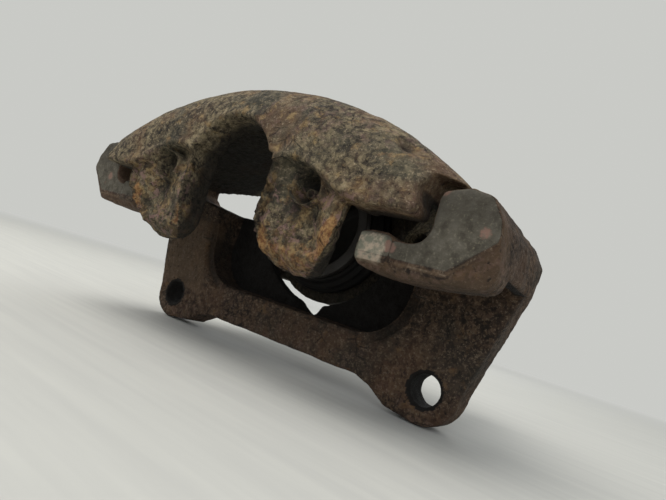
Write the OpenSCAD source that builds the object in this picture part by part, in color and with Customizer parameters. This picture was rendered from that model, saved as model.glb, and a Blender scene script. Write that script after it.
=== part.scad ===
// Single-piston floating disc-brake caliper on its carrier.
// X runs along the disc's edge, +Y is inboard along the piston axis, +Z is radially outwards.
// The origin lies midway between the two knuckle bolt holes, on the mounting plane.

/* [Pads] */
// Height of the outer pad's ears above the bolt line
pad_z = 54; // [53:0.5:56]
// Height of the bridge's inner skin above the bolt line
disc_top = 86; // [85:0.5:90]

/* [Carrier] */
// Distance between the two knuckle bolt holes
lug_gap = 154; // [150:1:160]
// Diameter of a knuckle bolt hole
lug_hole_d = 12.6; // [10:0.1:14]
// Outer radius of a knuckle lug
lug_r = 13.5; // [11.5:0.5:15]
// Thickness of the carrier plate
plate_t = 14; // [12:0.5:18]
// Height of the lower bar's top edge above the bolt line
bar_top = 12.5; // [10:0.5:13]
// Height of the lower bar's bottom edge below the bolt line
bar_drop = 4.5; // [2:0.5:8]
// Half width of the pad window at its top
window_half = 62; // [60:0.5:63]
// Radius of the pad window's lower corners
window_corner_r = 22; // [12:1:23]
// Depth of the recessed web behind the mounting plane
web_back = 8; // [6:0.5:10]
// Thickness of the recessed web
web_t = 6; // [5:0.5:9]
// Gap for the disc between the plate and the hooks
disc_slot = 33; // [26:0.5:36]
// Thickness of an outboard hook
hook_t = 19; // [15:0.5:24]
// Outermost half width of the carrier arms
arm_half = 105.5; // [104:0.5:110]
// Inner half width of the carrier arms
arm_inner = 84; // [84:0.5:88]

/* [Housing] */
// Height of the piston axis above the bolt line
bore_z = 56; // [54:0.5:57]
// Diameter of the piston
piston_d = 54; // [45:0.5:55]
// Wall of the cylinder around the bore
cylinder_wall = 10; // [7:0.5:10.5]
// Place of the cylinder's mouth inboard of the mounting plane
mouth_y = 8; // [7:0.5:10]
// Depth of the cylinder bore
bore_depth = 42; // [40:1:50]
// Thickness of the cylinder's floor
floor_t = 10; // [8:0.5:14]
// Radius of the bridge's outer skin about the disc axis
skin_r = 150; // [148:0.5:156]
// Thickness of the bridge over the disc
bridge_t = 12; // [9:0.5:13]
// Half width of the bridge
bridge_half = 89; // [84:0.5:92]
// Thickness of the two fingers
finger_t = 16; // [12:0.5:20]
// Radius of the rounded shoulder above the fingers
shoulder_r = 20; // [12:0.5:24]
// Distance from the mounting plane to the fingers' inboard face
finger_gap = 60; // [56:0.5:66]
// Radius of the arch between the fingers
arch_r = 20.5; // [16:0.5:21]

/* [Guides] */
// Distance between the two guide pins
pin_gap = 140; // [138:1:144]
// Height of the guide pins above the bolt line
pin_z = 38; // [36:0.5:40]
// Diameter of a guide pin's shaft
pin_d = 11; // [9:0.5:12]
// Thread diameter of a guide pin
pin_thread_d = 9; // [8:0.5:10]
// Outer radius of a housing ear
ear_r = 13; // [12:0.5:14]
// Outer radius of a guide bush
bush_r = 9; // [8:0.5:10]

/* [Piston] */
// Length of the piston
piston_l = 50; // [46:1:52]
// Distance that the piston stands out of the cylinder's mouth
piston_out = 16; // [8:1:18]
// Wall of the hollow piston
piston_wall = 5; // [3.5:0.5:7]

/* [Bleed screw] */
// Thread diameter of the bleed screw
bleed_d = 10; // [8:0.5:10]
// Width across the flats of the bleed screw's hexagon
bleed_hex = 11; // [9:0.5:12]
// Thread diameter of the brake hose port
port_d = 10; // [8:0.5:12]

/* [Hidden] */
$fn = 96;
eps = 0.5;                                  // how far a cut runs past a face
run_gap = 0.05;                             // radial clearance of a running fit
soft_gap = 0.4;                             // clearance of rubber and plastic over a moving piece
press = 0.05;                               // radial interference of a thread that is screwed home

// carrier
lug_x = lug_gap / 2;
plate_y = -plate_t;                         // outboard face of the plate
slot_y = plate_y - disc_slot;               // inboard face of the hooks
hook_y = slot_y - hook_t;                   // outboard face of the hooks
hub_z = disc_top - (skin_r - bridge_t);     // height of the disc axis
disc_clear_r = skin_r - bridge_t + 0.5;     // radius swept clear for the disc
arm_top = 66;                               // height of the arms' upper face
leg_top = pad_z - 2;                        // height of the web between the legs
web_r = piston_d / 2 + cylinder_wall + 2;   // radius of the web's opening round the cylinder
notch_half = 7.5;                           // half width of the notch below the cylinder
abutment_w = 7;                             // width of a pad abutment
abutment_out = 2;                           // height of an abutment over the plate
boss_r = 10.5;                              // radius of the pin boss on the web
boss_y = web_back + 4;                      // inboard face of the pin boss
pin_hole_end = plate_y + 5.5;               // blind end of the pin's threaded hole
horn_x = 60;                                // inner end of the horn
horn_low = pad_z - 18.5;                    // underside of the hook
horn_top = pad_z - 6;                       // upper face of the horn
bevel = 5;                                  // bevel along the hook's lower edge
bevel_x = arm_half - 13.5;                  // start of the slanted bevel at the hook's outer corner
bevel_z = horn_low + 3;

// housing
bore_r = piston_d / 2 + run_gap;
cylinder_r = piston_d / 2 + cylinder_wall;
floor_y = mouth_y + bore_depth;             // bore's floor
rear_y = floor_y + floor_t;                 // cylinder's rear face
inner_r = skin_r - bridge_t;
finger_y = -finger_gap;                     // inboard face of the fingers
front_y = finger_y - finger_t;              // outboard face of the fingers
neck_end = mouth_y + 26;                    // inboard end of the bridge
wall_r = inner_r - 18;                      // inner radius of the front wall
wing_low = pad_z - 0.5;                     // lower edge of the wings beside the fingers
wing_t = finger_t - 2;                      // thickness of the wings beside the fingers
wing_half = arm_inner - 3;                  // half width of the wings
scallop_r = 6.6;                            // relief round the hook's top
taper_y = plate_y - 10;                     // where the bridge starts to narrow inboard
tail_half = bridge_half - 31;               // half width of the bridge's inboard end
finger_in = arch_r + 1.5;                   // inner edge of a finger
finger_out = horn_x - 2;                    // outer edge of a finger's front
finger_back = finger_out - 10;              // outer edge of a finger's inboard face
finger_low = pad_z - 27;                    // tip of a finger
arch_z = pad_z + 4.5;                       // centre of the arch
pocket_x = (finger_in + finger_out) / 2 - 1.5;
pocket_z = pad_z + 2.5;
pocket_r = 6.5;
pocket_d = 4;
spring_hole_r = 2;
spring_hole_d = 9;
seal_y = mouth_y + 8;
seal_w = 4;
seal_depth = 4;
boot_depth = 4;                             // width of the boot's groove in the mouth
boot_groove_r = bore_r + 4.5;
pit_x = 58;
pit_y = -50;
pit_r = 9;
pit_d = 1.6;

// guides
pin_x = pin_gap / 2;
ear_y = boss_y + 8;                         // outboard face of an ear
ear_l = 28;
bush_y = boss_y + 4;                        // outboard end of a bush
bush_end = ear_y + ear_l + 2;
pin_end = bush_end + 4;                     // inboard end of a guide pin
cap_end = pin_end + 7;
cap_r = bush_r + 1.5;
bush_hole_r = pin_d / 2 + run_gap;
arm_y = ear_y + 4;                          // housing arm that carries an ear
arm_t = 20;

// piston
piston_y = mouth_y - piston_out;            // outboard face of the piston
piston_groove_y = piston_y + 4;
piston_groove_w = 4;
piston_groove_d = 1.5;

// bleed screw
bleed_x = 14;
bleed_y = rear_y - 13;
bleed_seat = bore_z + bore_r - 2;           // lowest point of the bleed screw's hole
bleed_face = bore_z + cylinder_r + 4;       // top of the bleed boss
bleed_boss_r = 8;
hex_h = 8;
nipple_r = 3;
nipple_h = 11;
port_x = -13;
port_z = bore_z + 11;
port_boss_r = 9.5;
port_out = 4;
port_depth = 11;
duct_r = 1.5;                               // radius of the fluid ducts

// points on an arc about [cx, cz], from angle a0 to a1
function arc(cx, cz, r, a0, a1, n = 8) =
    [for (i = [0:n]) [cx + r * cos(a0 + (a1 - a0) * i / n), cz + r * sin(a0 + (a1 - a0) * i / n)]];

// an outline in X and Z, made solid from y0 inboard to y1
module slab(y0, y1) {
    translate([0, y1, 0]) rotate([90, 0, 0]) linear_extrude(y1 - y0) children();
}

// a round rod along Y
module rod(x, z, y0, y1, r) {
    translate([x, y1, z]) rotate([90, 0, 0]) cylinder(r = r, h = y1 - y0);
}

// a ring along Y from an outline of radius and distance
module turned(x, z) {
    translate([x, 0, z]) rotate([-90, 0, 0]) rotate_extrude() children();
}

module both() {
    children();
    mirror([1, 0, 0]) children();
}

// right half of the carrier plate's outline
module plate_half() {
    polygon(concat(
        [[0, -bar_drop], [46, -bar_drop], [53, -bar_drop - 2], [lug_x - 15, -lug_r + 2]],
        arc(lug_x, 0, lug_r, -110, 0, 12),
        [[lug_x + lug_r + 0.8, 4], [lug_x + lug_r + 3.5, 13], [arm_half - 7, 29], [arm_half - 2, pad_z - 8],
         [arm_half - 1, pad_z + 3], [arm_half - 5.5, arm_top - 1.5], [arm_inner + 9, arm_top],
         [arm_inner, arm_top - 1], [arm_inner, pad_z + 5], [arm_inner - 5, pad_z + 1],
         [window_half, leg_top], [0, leg_top]]));
}

// right half of the web behind the plate
module web_half() {
    polygon([[0, 3], [lug_x - 24, 3], [lug_x - 19, lug_r + 3], [lug_x + 8, lug_r + 5],
             [arm_inner, leg_top - 3], [arm_inner - 5, leg_top + 2], [window_half, leg_top], [0, leg_top]]);
}

// right half of the recess for the inner pad
module window_half_outline() {
    polygon(concat([[0, leg_top + eps], [window_half, leg_top + eps]],
        arc(window_half - 2 - window_corner_r, bar_top + window_corner_r, window_corner_r, 0, -90, 10),
        [[0, bar_top]]));
}

// drain notch below the cylinder, steeper on its right side
module notch_outline() {
    polygon([[-notch_half - 2, bar_top + 20], [-notch_half - 2, bar_top + 9], [-notch_half + 1.5, bar_top + 5],
             [0.5, bar_top + 0.8], [3.5, bar_top - 0.5], [notch_half - 0.5, bar_top + 0.4],
             [notch_half + 1.5, bar_top + 4], [notch_half + 3.5, bar_top + 8], [notch_half + 3.5, bar_top + 20]]);
}

// right hook with the horn that carries the outer pad's ear
module hook_half() {
    polygon(concat(
        arc(horn_x + 5, horn_low + 5, 5, 260, 180, 4),
        arc(horn_x + 5, horn_top - 5, 5, 180, 90, 4),
        [[horn_x + 11, horn_top], [horn_x + 14, horn_top - 2]],
        arc(arm_inner - 6, horn_top + 4, 6, 270, 360, 5),
        arc(arm_inner + 2.5, arm_top - 4, 2.5, 180, 90, 3),
        [[arm_inner + 9, arm_top], [arm_half - 5.5, arm_top - 1.5], [arm_half - 1, pad_z + 3],
         [arm_half, pad_z - 8]],
        arc(arm_half - 6, horn_low + 7.5, 5.5, 0, -80, 4),
        [[arm_half - 16, horn_low + 0.5], [arm_half - 26, horn_low - 0.5]]));
}

// block of the arm over the disc, before the disc's clearance is cut from it
module arm_half_block() {
    polygon([[arm_inner, pad_z - 10], [arm_inner, arm_top - 1], [arm_inner + 9, arm_top],
             [arm_half - 5.5, arm_top - 1.5], [arm_half - 1, pad_z + 3], [arm_half, pad_z - 8],
             [arm_half, pad_z - 10]]);
}

module carrier() color("#5c463a") {
    difference() {
        union() {
            both() slab(plate_y, 0) plate_half();
            both() slab(-eps, web_back) web_half();
            both() slab(hook_y, slot_y) hook_half();
            difference() {
                both() slab(slot_y - eps, plate_y + eps) arm_half_block();
                rod(0, hub_z, slot_y, plate_y, disc_clear_r);
            }
            both() slab(plate_y - abutment_out, plate_y + eps)
                translate([window_half, pad_z - 20]) square([abutment_w, 18]);
            both() slab(hook_y - 1.5, hook_y + eps)
                translate([horn_x + 1.5, horn_low + 2]) square([11.5, 9.5]);
            both() rod(pin_x, pin_z, 0, boss_y, boss_r);
        }
        both() slab(plate_y - 10, web_back - web_t) window_half_outline();
        rod(0, bore_z, plate_y, web_back + eps, web_r);
        slab(-eps, web_back + eps) notch_outline();
        both() rod(lug_x, 0, plate_y - eps, eps, lug_hole_d / 2);
        both() rod(pin_x, pin_z, pin_hole_end, boss_y + eps, pin_thread_d / 2 - press);
        both() translate([arm_half - 20, hook_y, horn_low - 1]) rotate([45, 0, 0])
            cube([44, bevel, bevel], center = true);
        both() translate([bevel_x, hook_y, bevel_z]) rotate([0, -45, 0]) translate([-10, 0, 0])
            rotate([90, 0, 90]) linear_extrude(50) polygon([[-1, 1], [-1, -15], [15, -15]]);
    }
}

// bridge skin and front wall, turned about the disc axis
module bridge() {
    intersection() {
        translate([0, 0, hub_z]) rotate([-90, 0, 0]) rotate([0, 0, -140])
            rotate_extrude(angle = 100, $fn = 240) polygon(concat(
                [[inner_r, neck_end]],
                arc(skin_r - 8, neck_end - 8, 8, 90, 0, 5),
                arc(skin_r - shoulder_r, front_y + shoulder_r, shoulder_r, 0, -90, 10),
                [[wall_r, front_y], [wall_r, front_y + wing_t]],
                arc(inner_r - 6, front_y + wing_t + 6, 6, -90, 0, 5)));
        slab(front_y - eps, neck_end + eps) difference() {
            translate([-bridge_half, wing_low]) square([2 * bridge_half, skin_r]);
            for (s = [-1, 1]) {
                translate([s > 0 ? wing_half : -wing_half - 40, 0]) square([40, arm_top + 2]);
                translate([s * (arm_inner + 2), arm_top - 5]) circle(r = scallop_r);
            }
        }
        linear_extrude(skin_r) both() polygon([[0, front_y - eps], [bridge_half, front_y - eps],
            [bridge_half, taper_y], [tail_half, neck_end + eps], [0, neck_end + eps]]);
    }
}

// right finger: its outline from the front, thinned towards the tip and towards its outer side
module finger() {
    intersection() {
        slab(front_y, finger_y) polygon(concat(
            [[finger_in, arch_z + 16], [finger_in, finger_low + 17]],
            arc(finger_in + 11, finger_low + 11, 11, 180, 270, 5),
            [[finger_in + 17, finger_low]],
            arc(finger_out - 17, finger_low + 9, 9, 280, 330, 3),
            [[finger_out - 4, finger_low + 12], [finger_out - 0.5, finger_low + 20],
             [finger_out, wing_low + 4], [pocket_x, arch_z + 13]]));
        rotate([90, 0, 90]) linear_extrude(finger_out + 5) polygon([[finger_y + eps, finger_low - 1],
            [finger_y - 2, finger_low], [finger_y - 8, finger_low + 4], [finger_y - 12, finger_low + 9],
            [front_y + 1, finger_low + 14], [front_y - eps, finger_low + 20], [front_y - eps, disc_top],
            [finger_y + eps, disc_top]]);
        linear_extrude(disc_top) polygon([[0, finger_y + eps], [finger_back, finger_y + eps],
            [finger_out + eps, front_y + 2], [finger_out + eps, front_y - eps], [0, front_y - eps]]);
    }
}

module housing() color("#6b4a35") {
    difference() {
        union() {
            difference() {
                bridge();
                rod(0, arch_z, front_y - eps, finger_y + 1, arch_r);
                translate([-arch_r, front_y - eps, 0])
                    cube([2 * arch_r, finger_t + 1, arch_z]);
            }
            both() finger();
            turned(0, bore_z) polygon([[0, mouth_y], [cylinder_r, mouth_y], [cylinder_r, rear_y - 6],
                                       [cylinder_r - 4, rear_y - 1.5], [cylinder_r - 8, rear_y], [0, rear_y]]);
            slab(mouth_y + 4, neck_end - 4) polygon([[-34, bore_z + 3], [34, bore_z + 3],
                [48, disc_top - 7], [40, disc_top], [-40, disc_top], [-48, disc_top - 7]]);
            both() rod(pin_x, pin_z, ear_y, ear_y + ear_l, ear_r);
            both() slab(arm_y, arm_y + arm_t) polygon([[pin_x, pin_z + ear_r], [30, bore_z + 18], [0, bore_z],
                [12, bore_z - 30], [pin_x, pin_z - ear_r]]);
            translate([bleed_x, bleed_y, bore_z + 20]) cylinder(r = bleed_boss_r, h = bleed_face - bore_z - 20);
            rod(port_x, port_z, floor_y, rear_y + port_out, port_boss_r);
        }
        turned(0, bore_z) polygon([[0, mouth_y - eps], [boot_groove_r, mouth_y - eps],
            [boot_groove_r, mouth_y + boot_depth], [bore_r, mouth_y + boot_depth], [bore_r, seal_y],
            [bore_r + seal_depth, seal_y], [bore_r + seal_depth, seal_y + seal_w], [bore_r, seal_y + seal_w],
            [bore_r, floor_y], [0, floor_y]]);
        both() rod(pin_x, pin_z, ear_y - eps, ear_y + ear_l + eps, bush_r);
        translate([bleed_x, bleed_y, bleed_seat]) cylinder(r = bleed_d / 2 + run_gap, h = 30);
        rod(port_x, port_z, rear_y + port_out - port_depth, rear_y + port_out + eps, port_d / 2);
        rod(port_x, port_z, floor_y - eps, rear_y, duct_r);
        translate([bleed_x, bleed_y, bore_z]) cylinder(r = duct_r, h = bleed_seat - bore_z + eps);
        both() slab(front_y - eps, front_y + pocket_d) translate([pocket_x, pocket_z]) circle(r = pocket_r);
        both() rod(pocket_x, pocket_z - 1.5, front_y - eps, front_y + spring_hole_d, spring_hole_r);
        pit_z = hub_z + sqrt(skin_r * skin_r - pit_x * pit_x);
        translate([pit_x, pit_y, pit_z + pit_r - pit_d]) rotate([90, 0, 0]) sphere(r = pit_r);
    }
}

module piston() color("#5a5048") {
    inner = piston_d / 2 - piston_wall;
    r = piston_d / 2;
    turned(0, bore_z) polygon([[inner, piston_y], [r - 1, piston_y], [r, piston_y + 1],
        [r, piston_groove_y], [r - piston_groove_d, piston_groove_y],
        [r - piston_groove_d, piston_groove_y + piston_groove_w], [r, piston_groove_y + piston_groove_w],
        [r, piston_y + piston_l - 1.5], [r - 1.5, piston_y + piston_l], [0, piston_y + piston_l],
        [0, piston_y + piston_l - 6], [inner - 3, piston_y + piston_l - 6], [inner, piston_y + piston_l - 9]]);
}

module piston_seal() color("#1c1c1c") {
    turned(0, bore_z) translate([bore_r, seal_y + 0.1]) square([seal_depth - 0.1, seal_w - 0.2]);
}

module dust_boot() color("#202020") {
    hole = piston_d / 2 + soft_gap;
    turned(0, bore_z) polygon([[hole, mouth_y - 6], [hole + 2.2, mouth_y - 6], [hole + 2.6, mouth_y + 0.1],
        [boot_groove_r - 0.1, mouth_y + 0.1], [boot_groove_r - 0.1, mouth_y + boot_depth - 0.1],
        [hole, mouth_y + boot_depth - 0.1]]);
}

module guide_pin(side) color("#8a8378") {
    socket_r = 3.5 / cos(30);
    difference() {
        turned(side * pin_x, pin_z) polygon([[0, pin_hole_end + 1], [pin_thread_d / 2 - 1, pin_hole_end + 1],
            [pin_thread_d / 2, pin_hole_end + 2], [pin_thread_d / 2, boss_y], [pin_d / 2, boss_y],
            [pin_d / 2, pin_end - 1], [pin_d / 2 - 1, pin_end], [0, pin_end]]);
        translate([side * pin_x, pin_end + eps, pin_z]) rotate([90, 0, 0])
            cylinder(r = socket_r, h = 7, $fn = 6);
    }
}

module guide_bush(side) color("#262626") {
    turned(side * pin_x, pin_z) polygon([[bush_hole_r, bush_y], [bush_r + 2, bush_y], [bush_r + 2, ear_y - 0.1],
        [bush_r - 0.1, ear_y - 0.1], [bush_r - 0.1, bush_end], [bush_hole_r, bush_end]]);
}

module pin_cap(side) color("#2b2b2b") {
    hollow = pin_d / 2 + 1;
    turned(side * pin_x, pin_z) polygon([[hollow, bush_end + 0.1], [cap_r, bush_end + 0.1], [cap_r, cap_end - 2],
        [cap_r - 2, cap_end], [0, cap_end], [0, cap_end - 2], [hollow, cap_end - 2]]);
}

module bleed_screw() color("#9a9488") {
    hex_z = bleed_face + 0.8;
    difference() {
        translate([bleed_x, bleed_y, 0]) union() {
            translate([0, 0, bleed_seat + 4]) cylinder(r = bleed_d / 2, h = hex_z - bleed_seat - 4);
            translate([0, 0, bleed_seat + 0.5]) cylinder(r1 = 2, r2 = bleed_d / 2, h = 3.5);
            translate([0, 0, hex_z]) cylinder(r = bleed_hex / 2 / cos(30), h = hex_h, $fn = 6);
            translate([0, 0, hex_z + hex_h]) cylinder(r = nipple_r, h = nipple_h);
        }
        translate([bleed_x, bleed_y, bleed_seat + 8]) cylinder(r = 1, h = 60);
    }
}

module bleed_cap() color("#181818") {
    cap_z = bleed_face + 0.8 + hex_h + 0.3;
    translate([bleed_x, bleed_y, cap_z]) rotate_extrude()
        polygon([[nipple_r + soft_gap, 0], [nipple_r + 3, 0], [nipple_r + 3, 3], [nipple_r + 2, 4],
                 [nipple_r + 2, nipple_h], [nipple_r, nipple_h + 2.5], [0, nipple_h + 2.5],
                 [0, nipple_h + 0.5], [nipple_r + soft_gap, nipple_h + 0.5]]);
}

carrier();
housing();
piston();
piston_seal();
dust_boot();
guide_pin(-1);  // guide_pin_left
guide_pin(1);  // guide_pin_right
guide_bush(-1);  // guide_bush_left
guide_bush(1);  // guide_bush_right
pin_cap(-1);  // pin_cap_left
pin_cap(1);  // pin_cap_right
bleed_screw();
bleed_cap();
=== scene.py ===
import math
import bmesh
import bpy
import numpy as np
from mathutils import Matrix, Vector, noise


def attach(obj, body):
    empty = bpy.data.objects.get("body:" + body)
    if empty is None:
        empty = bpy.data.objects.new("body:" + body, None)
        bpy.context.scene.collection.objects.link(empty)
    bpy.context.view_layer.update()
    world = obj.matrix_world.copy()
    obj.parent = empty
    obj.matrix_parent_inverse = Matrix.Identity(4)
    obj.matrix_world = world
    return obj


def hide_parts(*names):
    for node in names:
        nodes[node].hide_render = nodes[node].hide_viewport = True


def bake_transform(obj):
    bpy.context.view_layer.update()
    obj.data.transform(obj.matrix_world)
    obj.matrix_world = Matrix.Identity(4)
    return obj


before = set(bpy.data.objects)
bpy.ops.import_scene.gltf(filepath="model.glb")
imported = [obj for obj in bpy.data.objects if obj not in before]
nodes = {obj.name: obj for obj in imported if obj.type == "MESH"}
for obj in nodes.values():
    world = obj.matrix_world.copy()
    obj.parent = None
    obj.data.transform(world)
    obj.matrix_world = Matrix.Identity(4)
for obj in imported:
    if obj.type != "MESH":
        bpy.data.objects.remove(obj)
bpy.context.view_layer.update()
mm = 0.001


# small helpers
def colour(hexText):
    # sRGB hex to linear RGBA
    parts = [int(hexText[i:i + 2], 16) / 255 for i in (1, 3, 5)]
    return [c / 12.92 if c <= 0.04045 else ((c + 0.055) / 1.055) ** 2.4 for c in parts] + [1.0]


def addNode(tree, kind, settings=None, links=None):
    # one node with its settings and the links that run into it
    node = tree.nodes.new(kind)
    for key, value in (settings or {}).items():
        if key == "stops":
            ramp = node.color_ramp
            while len(ramp.elements) < len(value):
                ramp.elements.new(0.5)
            for element, (place, shade) in zip(ramp.elements, value):
                element.position = place
                element.color = colour(shade) if isinstance(shade, str) else [shade, shade, shade, 1]
        elif isinstance(key, str) and hasattr(node, key):
            setattr(node, key, value)
        else:
            node.inputs[key].default_value = value
    for key, source in (links or {}).items():
        tree.links.new(source, node.inputs[key])
    return node


def perMm(size):
    # texture scale that gives features of this many millimetres
    return 1.0 / (size * mm)


def smooth(low, high, x):
    t = np.clip((x - low) / (high - low), 0, 1)
    return t * t * (3 - 2 * t)


def coordsOf(mesh):
    flat = np.empty(len(mesh.vertices) * 3, np.float32)
    mesh.vertices.foreach_get("co", flat)
    return flat.reshape(-1, 3).astype(float) / mm


def normalsOf(mesh):
    flat = np.empty(len(mesh.vertices) * 3, np.float32)
    mesh.vertex_normals.foreach_get("vector", flat)
    return flat.reshape(-1, 3).astype(float)


def setCoords(mesh, points):
    mesh.vertices.foreach_set("co", (points * mm).astype(np.float32).ravel())
    mesh.update()


def lumps(points, size, seed, detail=2):
    # soft noise in -1..1 over points in millimetres
    shift = Vector((seed * 7.3, seed * 3.1, seed * 5.7))
    return np.array([noise.fractal(Vector(p) / size + shift, 0.9, 2.1, detail) for p in points])


def bumps(points, size, seed):
    shift = Vector((seed * 4.7, seed * 9.1, seed * 2.3))
    return np.array([noise.noise(Vector(p) / size + shift) for p in points])


def storeFloat(mesh, name, values):
    layer = mesh.attributes.get(name) or mesh.attributes.new(name, "FLOAT", "POINT")
    layer.data.foreach_set("value", np.asarray(values, np.float32))


def newObject(name, mesh):
    piece = bpy.data.objects.new(name, mesh)
    bpy.context.scene.collection.objects.link(piece)
    return piece


def evaluated(piece, name):
    # the piece with its modifiers worked out, as a plain mesh in a new object
    graph = bpy.context.evaluated_depsgraph_get()
    mesh = bpy.data.meshes.new_from_object(piece.evaluated_get(graph))
    mesh.name = name
    bpy.data.objects.remove(piece)
    return newObject(name, mesh)


def mergedCopy(nodeName, name):
    # the CAD triangles joined up into one shell
    piece = newObject(name, nodes[nodeName].data.copy())
    piece.data.materials.clear()
    weld = piece.modifiers.new("weld", "WELD")
    weld.merge_threshold = 0.002 * mm
    return evaluated(piece, name)


def finished(piece, material, body, slot, *replaced):
    piece.data.materials.clear()
    piece.data.materials.append(material)
    piece.data.polygons.foreach_set("use_smooth", [True] * len(piece.data.polygons))
    if body:
        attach(piece, body)
    if replaced:
        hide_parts(*replaced)
    print("made", piece.name, len(piece.data.polygons), "faces")
    return piece


# lens in mm, places in metres, roll in degrees
camera = {
    "place": (0.1448, -0.2004, 0.0228),
    "target": (0.0278, -0.0300, 0.0424),
    "roll": -17.48,
    "lens": 26.63,
}


def makeCamera(c):
    data = bpy.data.cameras.new("camera")
    data.lens = c["lens"]
    data.sensor_width = 36
    data.clip_start = 0.005
    data.clip_end = 50
    cam = bpy.data.objects.new("camera", data)
    bpy.context.scene.collection.objects.link(cam)
    ahead = (Vector(c["target"]) - Vector(c["place"])).normalized()
    right = ahead.cross(Vector((0, 0, 1))).normalized()
    up = right.cross(ahead)
    tilt = math.radians(c["roll"])
    up = math.cos(tilt) * up + math.sin(tilt) * right
    right = ahead.cross(up)
    rows = [(right[i], up[i], -ahead[i], c["place"][i]) for i in range(3)]
    cam.matrix_world = Matrix(rows + [(0, 0, 0, 1)])
    bpy.context.scene.camera = cam
    print("camera set")


makeCamera(camera)

# floor, world and lights; the floor fades into the surroundings between fadeFrom and fadeTo metres
stage = {
    "floorZ": -13.9 * mm,
    "floorSize": 6.0,
    "floorShade": "#bfc0bd",
    "floorStreak": "#b8b9b7",
    "worldShade": "#cbccc8",
    "worldStrength": 0.98,
    "fadeFrom": 0.45,
    "fadeTo": 1.3,
}


def floorMaterial(s):
    # painted board: matt, very faintly streaked, and fading far away into the pale surroundings
    m = bpy.data.materials.new("whitePaintedBoard")
    m.use_nodes = True
    t = m.node_tree
    t.nodes.clear()
    place = addNode(t, "ShaderNodeTexCoord").outputs["Object"]
    drawn = addNode(t, "ShaderNodeMapping", {"Scale": (1, 12, 1)}, {"Vector": place})
    streak = addNode(t, "ShaderNodeTexNoise", {"Scale": perMm(60), "Detail": 4}, {"Vector": drawn.outputs[0]})
    shade = addNode(t, "ShaderNodeValToRGB", {"stops": [(0.3, s["floorStreak"]), (0.7, s["floorShade"])]},
                    {"Fac": streak.outputs[0]})
    board = addNode(t, "ShaderNodeBsdfPrincipled", {"Roughness": 0.75, "Specular IOR Level": 0.1},
                    {"Base Color": shade.outputs[0]})
    far = addNode(t, "ShaderNodeEmission", {"Color": colour(s["worldShade"]), "Strength": s["farGlow"]})
    span = addNode(t, "ShaderNodeVectorMath", {"operation": "LENGTH"}, {0: place})
    fade = addNode(t, "ShaderNodeMapRange",
                   {"From Min": s["fadeFrom"], "From Max": s["fadeTo"], "interpolation_type": "SMOOTHSTEP"},
                   {"Value": span.outputs["Value"]})
    mix = addNode(t, "ShaderNodeMixShader", {}, {0: fade.outputs[0], 1: board.outputs[0], 2: far.outputs[0]})
    addNode(t, "ShaderNodeOutputMaterial", {}, {"Surface": mix.outputs[0]})
    return m


def makeStage(s):
    s["farGlow"] = s["worldStrength"]
    h = s["floorSize"]
    mesh = bpy.data.meshes.new("floor")
    z = s["floorZ"]
    mesh.from_pydata([(-h, -h, z), (h, -h, z), (h, h, z), (-h, h, z)], [], [(0, 1, 2, 3)])
    floor = newObject("floor", mesh)
    mesh.materials.append(floorMaterial(s))
    world = bpy.data.worlds.new("studio")
    world.use_nodes = True
    back = world.node_tree.nodes["Background"]
    back.inputs["Color"].default_value = colour(s["worldShade"])
    back.inputs["Strength"].default_value = s["worldStrength"]
    bpy.context.scene.world = world


def addLight(name, place, aim, size, power, shade):
    data = bpy.data.lights.new(name, "AREA")
    data.shape = "DISK"
    data.size = size
    data.energy = power
    data.color = colour(shade)[:3]
    lamp = bpy.data.objects.new(name, data)
    bpy.context.scene.collection.objects.link(lamp)
    lamp.location = place
    lamp.rotation_euler = (Vector(aim) - Vector(place)).to_track_quat("-Z", "Y").to_euler()


bpy.context.scene.view_settings.view_transform = "Standard"
makeStage(stage)
addLight("overheadSoftbox", (-0.28, -0.38, 0.85), (0, -0.02, 0.03), 0.9, 7.4, "#fffaf2")
addLight("frontFill", (0.45, -0.75, 0.35), (0, 0, 0.03), 0.6, 2.2, "#f2f6ff")
addLight("backFill", (-0.3, 0.8, 0.5), (0, 0, 0.04), 0.6, 2.2, "#ffffff")
print("stage and lights set")


# cast iron: colours of the rust and the size of its patches, mottling, specks and blooms in mm
ironLooks = {
    # bridge and fingers: olive-brown crust with tan dust, ochre where it has run
    "housing": {"dark": "#1d1813", "deep": "#3b3328", "mid": "#5c523f", "pale": "#83765a", "bloom": "#5c4731",
                "bloomPale": "#8a7550", "bare": "#4c4943", "speck": "#978770", "patchMm": 20, "mottleMm": 2.6,
                "speckMm": 0.8, "bloomMm": 6, "bloomAt": 0.585, "rough": 0.84,
                "wideMm": 30, "wide": "#3b3a30", "warmMm": 24, "warm": "#6b4a33"},
    # carrier: darker red-brown rust
    "bracket": {"dark": "#1a1511", "deep": "#32261d", "mid": "#46362a", "pale": "#5f4c3a", "bloom": "#4a3424",
                "bloomPale": "#614c33", "bare": "#48443b", "speck": "#6b5d4d", "patchMm": 24, "mottleMm": 3.6,
                "speckMm": 0.9, "bloomMm": 9, "bloomAt": 0.585, "rough": 0.88,
                "wideMm": 34, "wide": "#2e2a24", "warmMm": 22, "warm": "#4f3828"},
}


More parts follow.
